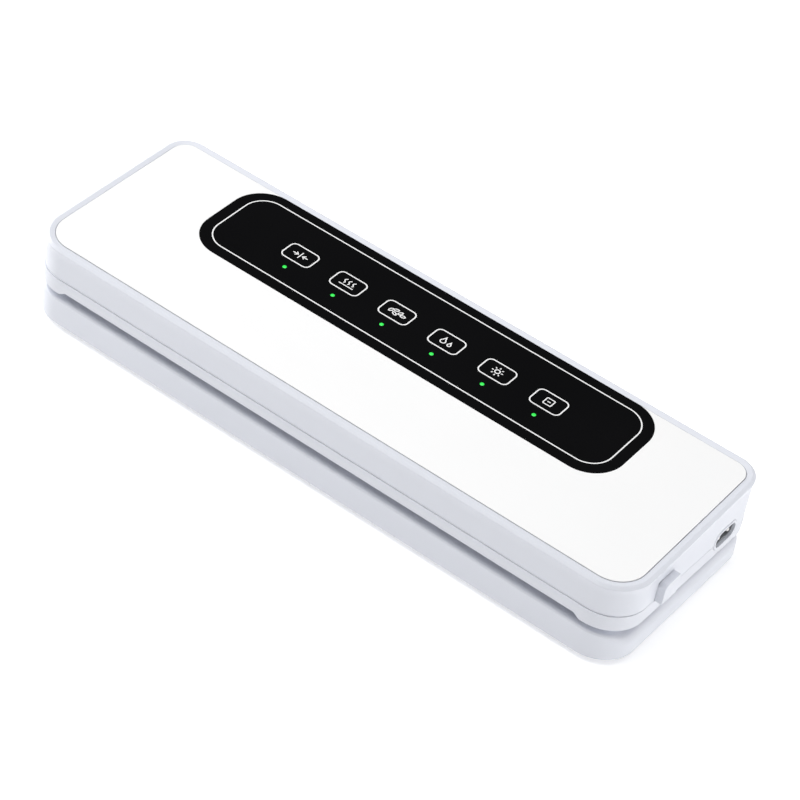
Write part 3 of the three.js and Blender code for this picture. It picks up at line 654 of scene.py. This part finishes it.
# ---- Top plate, overlay and keys ----
PLATE_R_FRONT, PLATE_R_BACK = 15.6, 8.5
OVERLAY_R = 19.0
PLATE_EDGE, FILM_EDGE = 0.18, 0.1
FILM_GAP, KEY_GAP, LENS_GAP = 0.06, 0.05, 0.08
Z_SHEET = Z_RECESS + 0.3
KEY_R = 3.2


def sheet_profile(z0, z1, edge):
    """A flat piece from z0 to z1 with its upper edge rounded."""
    return [(0.0, z0), (0.0, z1 - edge), (edge * 0.3, z1 - edge * 0.3), (edge, z1)]


plate = sweep("top_plate", rounded(*PLATE[:4], PLATE_R_FRONT, PLATE_R_BACK),
              sheet_profile(Z_SHEET, Z_PANEL, PLATE_EDGE))
film_outline = rounded(*OVERLAY[:4], OVERLAY_R, steps=20)
combine(plate, [sweep("opening", film_outline, [(-FILM_GAP, CUT_MID), (-FILM_GAP, CUT_HIGH)])])
dressed(wedged(plate), "lid", PANEL, ["top_panel"])

overlay = sweep("control_film", film_outline, sheet_profile(Z_SHEET, Z_PANEL, FILM_EDGE))
cutters = []
for name in KEYS:
    x0, x1, y0, y1, _, _ = span(f"key_{name}")
    around = rounded(x0 - KEY_GAP, x1 + KEY_GAP, y0 - KEY_GAP, y1 + KEY_GAP, KEY_R + KEY_GAP, steps=8)
    cutters.append(sweep(f"hole_{name}", around, THROUGH_TOP))
for name in INDICATORS:
    x0, x1, y0, y1, _, _ = span(name)
    around = circle(*middle(x0, x1, y0, y1), (x1 - x0) / 2 + LENS_GAP, 32)
    cutters.append(sweep(f"light_{name}", around, THROUGH_TOP))
combine(overlay, cutters)
dressed(wedged(overlay), "lid", GLOSS, ["control_overlay"])


INK = 0.04
Z_PRINT = Z_PANEL + 0.01
INSET_LINE, KEY_LINE, SYMBOL_LINE = 0.68, 0.7, 0.58


def stroke(name, paths, width):
    """Printed lines: each path, (points, closed), becomes a flat ribbon of even width with pointed joints."""
    verts, faces = [], []
    for points, closed in paths:
        n = len(points)
        start = len(verts)
        for k in range(n):
            here = Vector(points[k])
            before = Vector(points[(k - 1) % n]) if closed or k > 0 else None
            after = Vector(points[(k + 1) % n]) if closed or k < n - 1 else None
            a = (here - before).normalized() if before is not None else (after - here).normalized()
            b = (after - here).normalized() if after is not None else a
            normal = Vector((-(a + b).y, (a + b).x)).normalized()
            reach = width / 2 / max(0.35, normal.dot(Vector((-a.y, a.x))))
            for s, height in ((1, 0), (1, INK), (-1, INK), (-1, 0)):
                p = here + normal * reach * s
                verts.append((p.x, p.y, Z_PRINT + height))
        for k in range(n if closed else n - 1):
            i, j = start + 4 * k, start + 4 * ((k + 1) % n)
            faces += [(i + c, j + c, j + (c + 1) % 4, i + (c + 1) % 4) for c in range(4)]
        if not closed:
            last = start + 4 * (n - 1)
            faces += [(start, start + 1, start + 2, start + 3), (last + 3, last + 2, last + 1, last)]
    return new_object(name, verts, faces)


def line_round(x0, x1, y0, y1, r, steps=10):
    return [(x, y) for x, y, _, _ in rounded(x0, x1, y0, y1, r, steps=steps)]


inset_line = stroke("inset_line", [(line_round(-120.7, 124.4, 1.1, 48.0, 12.6, 16), True)], INSET_LINE)
dressed(wedged(inset_line), "lid", PRINT)


def bow(cx, cy, r, start=0, end=360, steps=18):
    """Points along an arc, or round a whole circle."""
    count = steps if end - start == 360 else steps + 1
    turn = [math.radians(start + (end - start) * k / steps) for k in range(count)]
    return [(cx + r * math.cos(a), cy + r * math.sin(a)) for a in turn]


def leaf(cx, cy, long, wide, tilt):
    """A pointed oval, such as a grain."""
    c, s = math.cos(math.radians(tilt)), math.sin(math.radians(tilt))
    points = []
    for k in range(12):
        a = 2 * math.pi * k / 12
        u, v = long * math.cos(a), wide * math.sin(a) * abs(math.sin(a)) ** 0.3
        points.append((cx + u * c - v * s, cy + u * s + v * c))
    return points


def droplet(cx, cy, r):
    return bow(cx, cy, r, -235, 55, 16) + [(cx, cy + 2.25 * r)]


def pictogram(name, x, y):
    """The paths of the line symbol that stands in place of a key's word."""
    if name == "vacuum":
        arrows = [([(x + s * 4.6, y), (x + s * 1.6, y)], False) for s in (-1, 1)]
        heads = [([(x + s * 2.9, y + 1.3), (x + s * 1.4, y), (x + s * 2.9, y - 1.3)], False) for s in (-1, 1)]
        return arrows + heads + [([(x, y - 2.6), (x, y + 2.6)], False)]
    if name == "seal":
        bars = [([(x - 4.4, y - 2.2), (x + 4.4, y - 2.2)], False)]
        for cx in (x - 2.6, x, x + 2.6):
            rising = [(cx + 0.55 * math.sin(t * 2.1), y - 0.9 + t) for t in (0, 0.6, 1.2, 1.8, 2.4, 3.0, 3.6)]
            bars.append((rising, False))
        return bars
    if name == "grain":
        grains = ((-3.6, -0.2, 62), (-1.3, 1.2, 20), (-0.6, -1.5, -25), (1.8, 0.4, 55), (4.0, -0.7, 10))
        return [(leaf(x + u, y + v, 1.45, 0.75, tilt), True) for u, v, tilt in grains]
    if name == "moist":
        return [(droplet(x - 1.7, y - 0.9, 1.45), True), (droplet(x + 2.3, y - 1.4, 0.95), True)]
    if name == "dry":
        rays = []
        for k in range(8):
            c, s = math.cos(math.pi * k / 4), math.sin(math.pi * k / 4)
            rays.append(([(x + 2.25 * c, y + 2.25 * s), (x + 3.3 * c, y + 3.3 * s)], False))
        return rays + [(bow(x, y, 1.35), True)]
    return [(line_round(x - 2.3, x + 2.3, y - 2.3, y + 2.3, 0.5, 4), True),
            ([(x - 0.9, y), (x + 0.9, y)], False)]


# The key's outline as printed: half its length and depth, and its corner radius.
PRINT_X, PRINT_Y, PRINT_R = 8.8, 5.95, 2.9
STEM = [(0, 43.9), (2.0, 43.9), (2.2, 44.1), (2.2, Z_PANEL - 0.7), (0, Z_PANEL - 0.7)]
for name in KEYS:
    x0, x1, y0, y1, _, _ = span(f"key_{name}")
    x, y = middle(x0, x1, y0, y1)
    cap_profile = sheet_profile(Z_PANEL - 0.8, Z_PANEL, FILM_EDGE)
    cap = sweep(f"key_cap_{name}", rounded(x0, x1, y0, y1, KEY_R, steps=8), cap_profile)
    combine(cap, [lathe(f"stem_{name}", STEM, x, y, 24)], "UNION")
    dressed(wedged(cap), f"{name}_key", GLOSS, [f"key_{name}"])
    border = line_round(x - PRINT_X, x + PRINT_X, y - PRINT_Y, y + PRINT_Y, PRINT_R, 8)
    symbol = stroke(f"key_print_{name}", [(border, True)], KEY_LINE)
    join(symbol, stroke(f"symbol_{name}", pictogram(name, x, y), SYMBOL_LINE))
    dressed(wedged(symbol), f"{name}_key", PRINT)

# The dome of an indicator lens: (share of the radius, height over the plate).
DOME = [(1.0, -0.15), (0.93, -0.04), (0.7, 0.03), (0.35, 0.07), (0.0, 0.08)]
Z_LENS = 43.1
for k, name in enumerate(INDICATORS):
    x0, x1, y0, y1, _, _ = span(name)
    r = (x1 - x0) / 2
    lens_profile = [(0, Z_LENS), (r, Z_LENS)] + [(r * share, Z_PANEL + rise) for share, rise in DOME]
    lens = lathe(f"lens_{k + 1}", lens_profile, *middle(x0, x1, y0, y1), 24)
    dressed(wedged(lens), "lid", LENS, [name])


# ---- Release tabs ----
# The tab's cut corner, its flange's overlap, the stretch of x of each part, and half the hook's length.
TAB_CUT, FLANGE = 1.9, 1.4
TAB_BACK, FLANGE_X, ARM_X, SHANK_X = 176.0, (177.4, 180.3), (170.0, 178.0), (172.3, 174.6)
ARM_Z, SHANK_TOP = (34.0, 41.5), 36.0
HOOK_HALF, TOE_HALF = 5.0, 4.99


def release_tab(name):
    """The tab that shows, the flange behind its opening, and the arm that carries the hook."""
    x1, z0 = BUTTON[1], BUTTON[4]
    y0, y1 = HOOK_Y - TAB_HALF, HOOK_Y + TAB_HALF
    face = [(y0, TAB_LOW), (y1, TAB_LOW), (y1, TAB_HIGH), (y0 + TAB_CUT, TAB_HIGH), (y0, TAB_HIGH - TAB_CUT)]
    toe = [(173.4, z0), (175.2, z0), (176.2, z0 + 1), (176.2, z0 + 2.1), (173.4, z0 + 2.1)]
    tab = prism(name, face, TAB_BACK, x1, axis="x", bevel=0.35, segments=3)
    parts = [block("flange", *FLANGE_X, y0 - FLANGE, y1 + FLANGE, TAB_LOW, TAB_HIGH + FLANGE, bevel=0.3),
             block("arm", *ARM_X, HOOK_Y - HOOK_HALF, HOOK_Y + HOOK_HALF, *ARM_Z, bevel=0.3),
             block("shank", *SHANK_X, HOOK_Y - HOOK_HALF, HOOK_Y + HOOK_HALF, z0, SHANK_TOP, bevel=0.3),
             prism("toe", toe, HOOK_Y - TOE_HALF, HOOK_Y + TOE_HALF, axis="y")]
    return combine(tab, parts, "UNION")


right_tab = release_tab("release_tab_right")
left_tab = mirrored(right_tab, "release_tab_left")
dressed(right_tab, "right_button", BODY, ["latch_button_right"])
dressed(left_tab, "left_button", BODY, ["latch_button_left"])

SPRING_WIRE, SPRING_TURNS = 0.35, 4
COIL_STEPS, WIRE_STEPS = 20, 8


def coil(name, x0, x1, y, z, r):
    """A helical compression spring along x, r to the outside of its wire."""
    verts, faces = [], []
    count = SPRING_TURNS * COIL_STEPS + 1
    for k in range(count):
        a = 2 * math.pi * k / COIL_STEPS
        x = x0 + SPRING_WIRE + (x1 - x0 - 2 * SPRING_WIRE) * k / (count - 1)
        for j in range(WIRE_STEPS):
            b = 2 * math.pi * j / WIRE_STEPS
            reach = r - SPRING_WIRE + SPRING_WIRE * math.cos(b)
            verts.append((x + SPRING_WIRE * math.sin(b), y + reach * math.cos(a), z + reach * math.sin(a)))
    for k in range(count - 1):
        here, after = k * WIRE_STEPS, (k + 1) * WIRE_STEPS
        for j in range(WIRE_STEPS):
            i = (j + 1) % WIRE_STEPS
            faces.append((here + j, here + i, after + i, after + j))
    faces += [list(range(WIRE_STEPS)), [(count - 1) * WIRE_STEPS + j for j in range(WIRE_STEPS)]]
    return new_object(name, verts, faces)


for side in ("left", "right"):
    x0, x1, y0, y1, z0, z1 = span(f"latch_spring_{side}")
    y, z = (y0 + y1) / 2, (z0 + z1) / 2
    spring = coil(f"spring_{side}", x0, x1, y, z, (y1 - y0) / 2)
    dressed(spring, "lid", STEEL, [f"latch_spring_{side}"])
    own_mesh(spring)

# ---- Mains inlet ----
# The frame's opening; the dark core in it, with two round recesses joined by a waist; and the pins' ends.
CAVITY_HALF, CAVITY_TALL, CAVITY_BACK = 8.7, 4.5, X_WALL - 13
CORE_GAP, CORE_FACE, CORE_BACK = 0.04, X_WALL - 1.2, X_WALL - 12
LOBE_OUT, LOBE_R, WAIST_HALF, WAIST_TALL = 4.3, 3.7, 3.5, 2.9
PIN_TIP = X_WALL - 0.7

socket_back, socket_face = span("inlet_socket")[:2]
bezel_outline = barrel_outline(INLET_HALF, INLET_TALL, INLET_Y, INLET_Z)
bezel = prism("inlet_bezel", bezel_outline, socket_back, socket_face, axis="x", bevel=0.3, segments=3)
opening = barrel_outline(CAVITY_HALF, CAVITY_TALL, INLET_Y, INLET_Z)
combine(bezel, [prism("cavity", opening, CAVITY_BACK, CUT_END, axis="x")])
dressed(bezel, "lid", BODY, ["inlet_socket"])
core_outline = barrel_outline(CAVITY_HALF - CORE_GAP, CAVITY_TALL - CORE_GAP, INLET_Y, INLET_Z)
core = prism("inlet_core", core_outline, CAVITY_BACK, CORE_FACE, axis="x")
combine(core, [rod("lobe_a", CORE_BACK, CUT_END, INLET_Y - LOBE_OUT, INLET_Z, LOBE_R, 36),
               rod("lobe_b", CORE_BACK, CUT_END, INLET_Y + LOBE_OUT, INLET_Z, LOBE_R, 36),
               block("waist", CORE_BACK, CUT_END, INLET_Y - WAIST_HALF, INLET_Y + WAIST_HALF,
                     INLET_Z - WAIST_TALL, INLET_Z + WAIST_TALL)])
dressed(core, "lid", SOCKET)
for place in ("front", "rear"):
    x0, _, y0, y1, z0, z1 = span(f"inlet_pin_{place}")
    tip = PIN_TIP - x0
    pin_profile = [(0, 0), (1.2, 0), (1.2, tip - 0.8), (0.95, tip - 0.3), (0.5, tip), (0, tip)]
    pin = lathe(f"pin_{place}", pin_profile, 0, 0, 24)
    pin.data.transform(Matrix.Translation(Vector((x0, (y0 + y1) / 2, (z0 + z1) / 2)) * MM)
                       @ Matrix.Rotation(math.pi / 2, 4, "Y"))
    dressed(pin, "lid", NICKEL, [f"inlet_pin_{place}"])


# ---- Seals and seal bar ----
GASKET_ROUND = 1.3


def gasket(name, z_back, z_face, node_name, body):
    """A foam ring that fills its groove and stands out of it with a rounded face."""
    s = 1 if z_face > z_back else -1
    r = GASKET_ROUND
    profile = [(GASKET_W, z_back), (0, z_back)]
    profile += [(r - i, z_face - s * (r - z)) for i, z in arc(0, 0, r, 0, 90, 5)]
    profile += [(GASKET_W - r + i, z_face - s * (r - z)) for i, z in arc(0, 0, r, 90, 0, 5)]
    outline = rounded(-GASKET_X, GASKET_X, VAC_Y - GASKET_Y, VAC_Y + GASKET_Y, GASKET_R, steps=10)
    dressed(sweep(name, outline, profile, closed=True), body, FOAM, [node_name])


low = span("vacuum_gasket_lower")
gasket("base_gasket", low[4], low[5], "vacuum_gasket_lower", "base")
high = span("vacuum_gasket_upper")
gasket("lid_gasket", high[5], high[4], "vacuum_gasket_upper", "lid")

# The silicone strip's face is crowned, with fine ridges along its middle.
CROWN, RIDGE_HEIGHT, RIDGES = 0.88, 0.12, 7
STRIP_STEPS = 20
x0, x1, y0, y1, z0, z1 = span("pressure_strip")
shoulder = z1 - RIDGE_HEIGHT - CROWN
section = [(y0, z0), (y1, z0), (y1, shoulder)]
for k in range(1, STRIP_STEPS):
    t = k / STRIP_STEPS
    off_middle = abs(2 * t - 1)
    ridge = RIDGE_HEIGHT * math.cos(2 * math.pi * RIDGES * t) * (1 - off_middle)
    section.append((y1 + (y0 - y1) * t, z1 - RIDGE_HEIGHT - CROWN * off_middle ** 3 + ridge))
section.append((y0, shoulder))
dressed(prism("silicone_strip", section, x0, x1, axis="x"), "base", SILICONE, ["pressure_strip"],
        angle=50)

# The tape lies flat, with a low step over the heating ribbon.
x0, x1, y0, y1, z0, z1 = span("ptfe_tape")
mid = (y0 + y1) / 2
section = [(y0, z1), (y0, z0 + 0.14), (y0 + 0.5, z0 + 0.1), (mid - 2.2, z0 + 0.09), (mid - 1.4, z0),
           (mid + 1.4, z0), (mid + 2.2, z0 + 0.09), (y1 - 0.5, z0 + 0.1), (y1, z0 + 0.14), (y1, z1)]
dressed(prism("seal_tape", section, x0, x1, axis="x"), "lid", TAPE, ["ptfe_tape"])


# ---- Screws and feet ----
def screw(name, x, y, z_face, z_tip, head):
    """A pan-head screw that points up, its head below with a cross recess."""
    shank, slot_long, slot_wide = 1.35, 1.5, 0.32
    profile = [(0, z_face), (head * 0.55, z_face), (head * 0.85, z_face + 0.25), (head, z_face + 0.8)]
    profile += [(head, z_face + 1.6), (shank, z_face + 1.6), (shank, z_tip - 1), (0, z_tip)]
    cross = [block("slot", x - u, x + u, y - v, y + v, z_face - 2, z_face + 1.0)
             for u, v in ((slot_long, slot_wide), (slot_wide, slot_long))]
    return combine(lathe(name, profile, x, y, 32), cross)


# The sole of a foot, with two ring grooves, as (radius, height).
SOLE = [(0, 0.35), (1.8, 0.35), (2.1, 0.0), (3.0, 0.0), (3.3, 0.35), (4.2, 0.35), (4.5, 0.0)]
for place in CORNERS:
    for body in ("base", "lid"):
        x0, x1, y0, y1, z0, z1 = span(f"{body}_screw_{place}")
        piece = screw(f"screw_{body}_{place}", *middle(x0, x1, y0, y1), z0, z1, (x1 - x0) / 2)
        dressed(piece, body, STEEL, [f"{body}_screw_{place}"])
    x0, x1, y0, y1, z0, z1 = span(f"foot_{place}")
    r = (x1 - x0) / 2
    foot_profile = [(radius, z0 + height) for radius, height in SOLE]
    foot_profile += [(r - 1.0, z0), (r - 0.3, z0 + 0.25), (r, z0 + 0.8), (r, z1), (0, z1)]
    foot = lathe(f"rubber_{place}", foot_profile, *middle(x0, x1, y0, y1), 40)
    dressed(foot, "base", RUBBER, [f"foot_{place}"])

# ---- CAD nodes that stay, each with its finish ----
KEPT = {
    "base_bottom_cover": (COVER, "white_cover"),
    "hinge_pin_left": (STEEL, "steel"),
    "hinge_pin_right": (STEEL, "steel"),
    "control_board": (BOARD, "board"),
    "power_board": (BOARD, "board"),
    "pump_motor": (STEEL, "steel"),
    "pump_head": (DARK, "dark_plastic"),
    "pump_bracket": (DARK, "dark_plastic"),
    "air_hose": (HOSE, "hose"),
    "relief_valve": (DARK, "dark_plastic"),
    "transformer": (LAMINATIONS, "laminations"),
    "capacitor": (DARK, "dark_plastic"),
    "lid_switch": (DARK, "dark_plastic"),
    "heating_bar": (ALUMINIUM, "aluminium"),
    "heating_wire": (WIRE, "heating_strip"),
}
for name, (finish, slot) in KEPT.items():
    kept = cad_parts[name]
    kept.data.materials.clear()
    kept.data.materials.append(finish)
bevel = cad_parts["base_bottom_cover"].modifiers.new("edges", "BEVEL")
bevel.width = 0.0003
bevel.segments = 2

# ---- Floor, light and camera ----
FLOOR_HALF, FLOOR_Z = 6000, -0.05
floor_corners = [(sx * FLOOR_HALF, sy * FLOOR_HALF, FLOOR_Z)
                 for sx, sy in ((-1, -1), (1, -1), (1, 1), (-1, 1))]
floor = new_object("floor", floor_corners, [(0, 1, 2, 3)])
floor.data.materials.append(FLOOR)


AIM = Vector((0.0, 0.0, 0.03))


def softbox(name, place, size, power):
    """A rectangular light that faces the object."""
    data = bpy.data.lights.new(name, "AREA")
    data.shape = "RECTANGLE"
    data.size, data.size_y = size
    data.energy = power
    lamp = bpy.data.objects.new(name, data)
    lamp.location = place
    lamp.rotation_euler = (AIM - Vector(place)).to_track_quat("-Z", "Y").to_euler()
    scene.collection.objects.link(lamp)


softbox("key", (-0.75, -0.45, 1.5), (1.6, 1.2), 8.5)
softbox("top", (0.0, 0.0, 1.8), (2.0, 2.0), 27)
softbox("left", (-1.7, 0.0, 0.6), (1.2, 0.8), 19)
softbox("right", (1.5, -0.1, 0.3), (1.2, 0.6), 5.4)
softbox("right_rear", (1.3, 0.9, 0.3), (1.0, 0.5), 4.2)

world = bpy.data.worlds.new("studio")
world.use_nodes = True
background = world.node_tree.nodes["Background"].inputs
background["Color"].default_value = (0.93, 0.95, 1.0, 1.0)
background["Strength"].default_value = 0.02
scene.world = world
scene.view_settings.view_transform = "Standard"

# The camera's place, focal length in millimetres, line of sight and upward direction.
CAMERA_PLACE = (0.5304, -0.86036, 0.8804)
FOCAL_LENGTH = 120.43
VIEW = Vector((-0.39325, 0.652392, -0.647875)).normalized()
RIGHT = VIEW.cross(Vector((-0.47655, 0.457983, 0.750429))).normalized()
UP = RIGHT.cross(VIEW).normalized()
camera_data = bpy.data.cameras.new("camera")
camera_data.sensor_width = 36
camera_data.lens = FOCAL_LENGTH
camera_data.clip_start, camera_data.clip_end = 0.05, 50
camera = bpy.data.objects.new("camera", camera_data)
camera.matrix_world = Matrix.Translation(CAMERA_PLACE) @ Matrix((RIGHT, UP, -VIEW)).transposed().to_4x4()
scene.collection.objects.link(camera)
scene.camera = camera
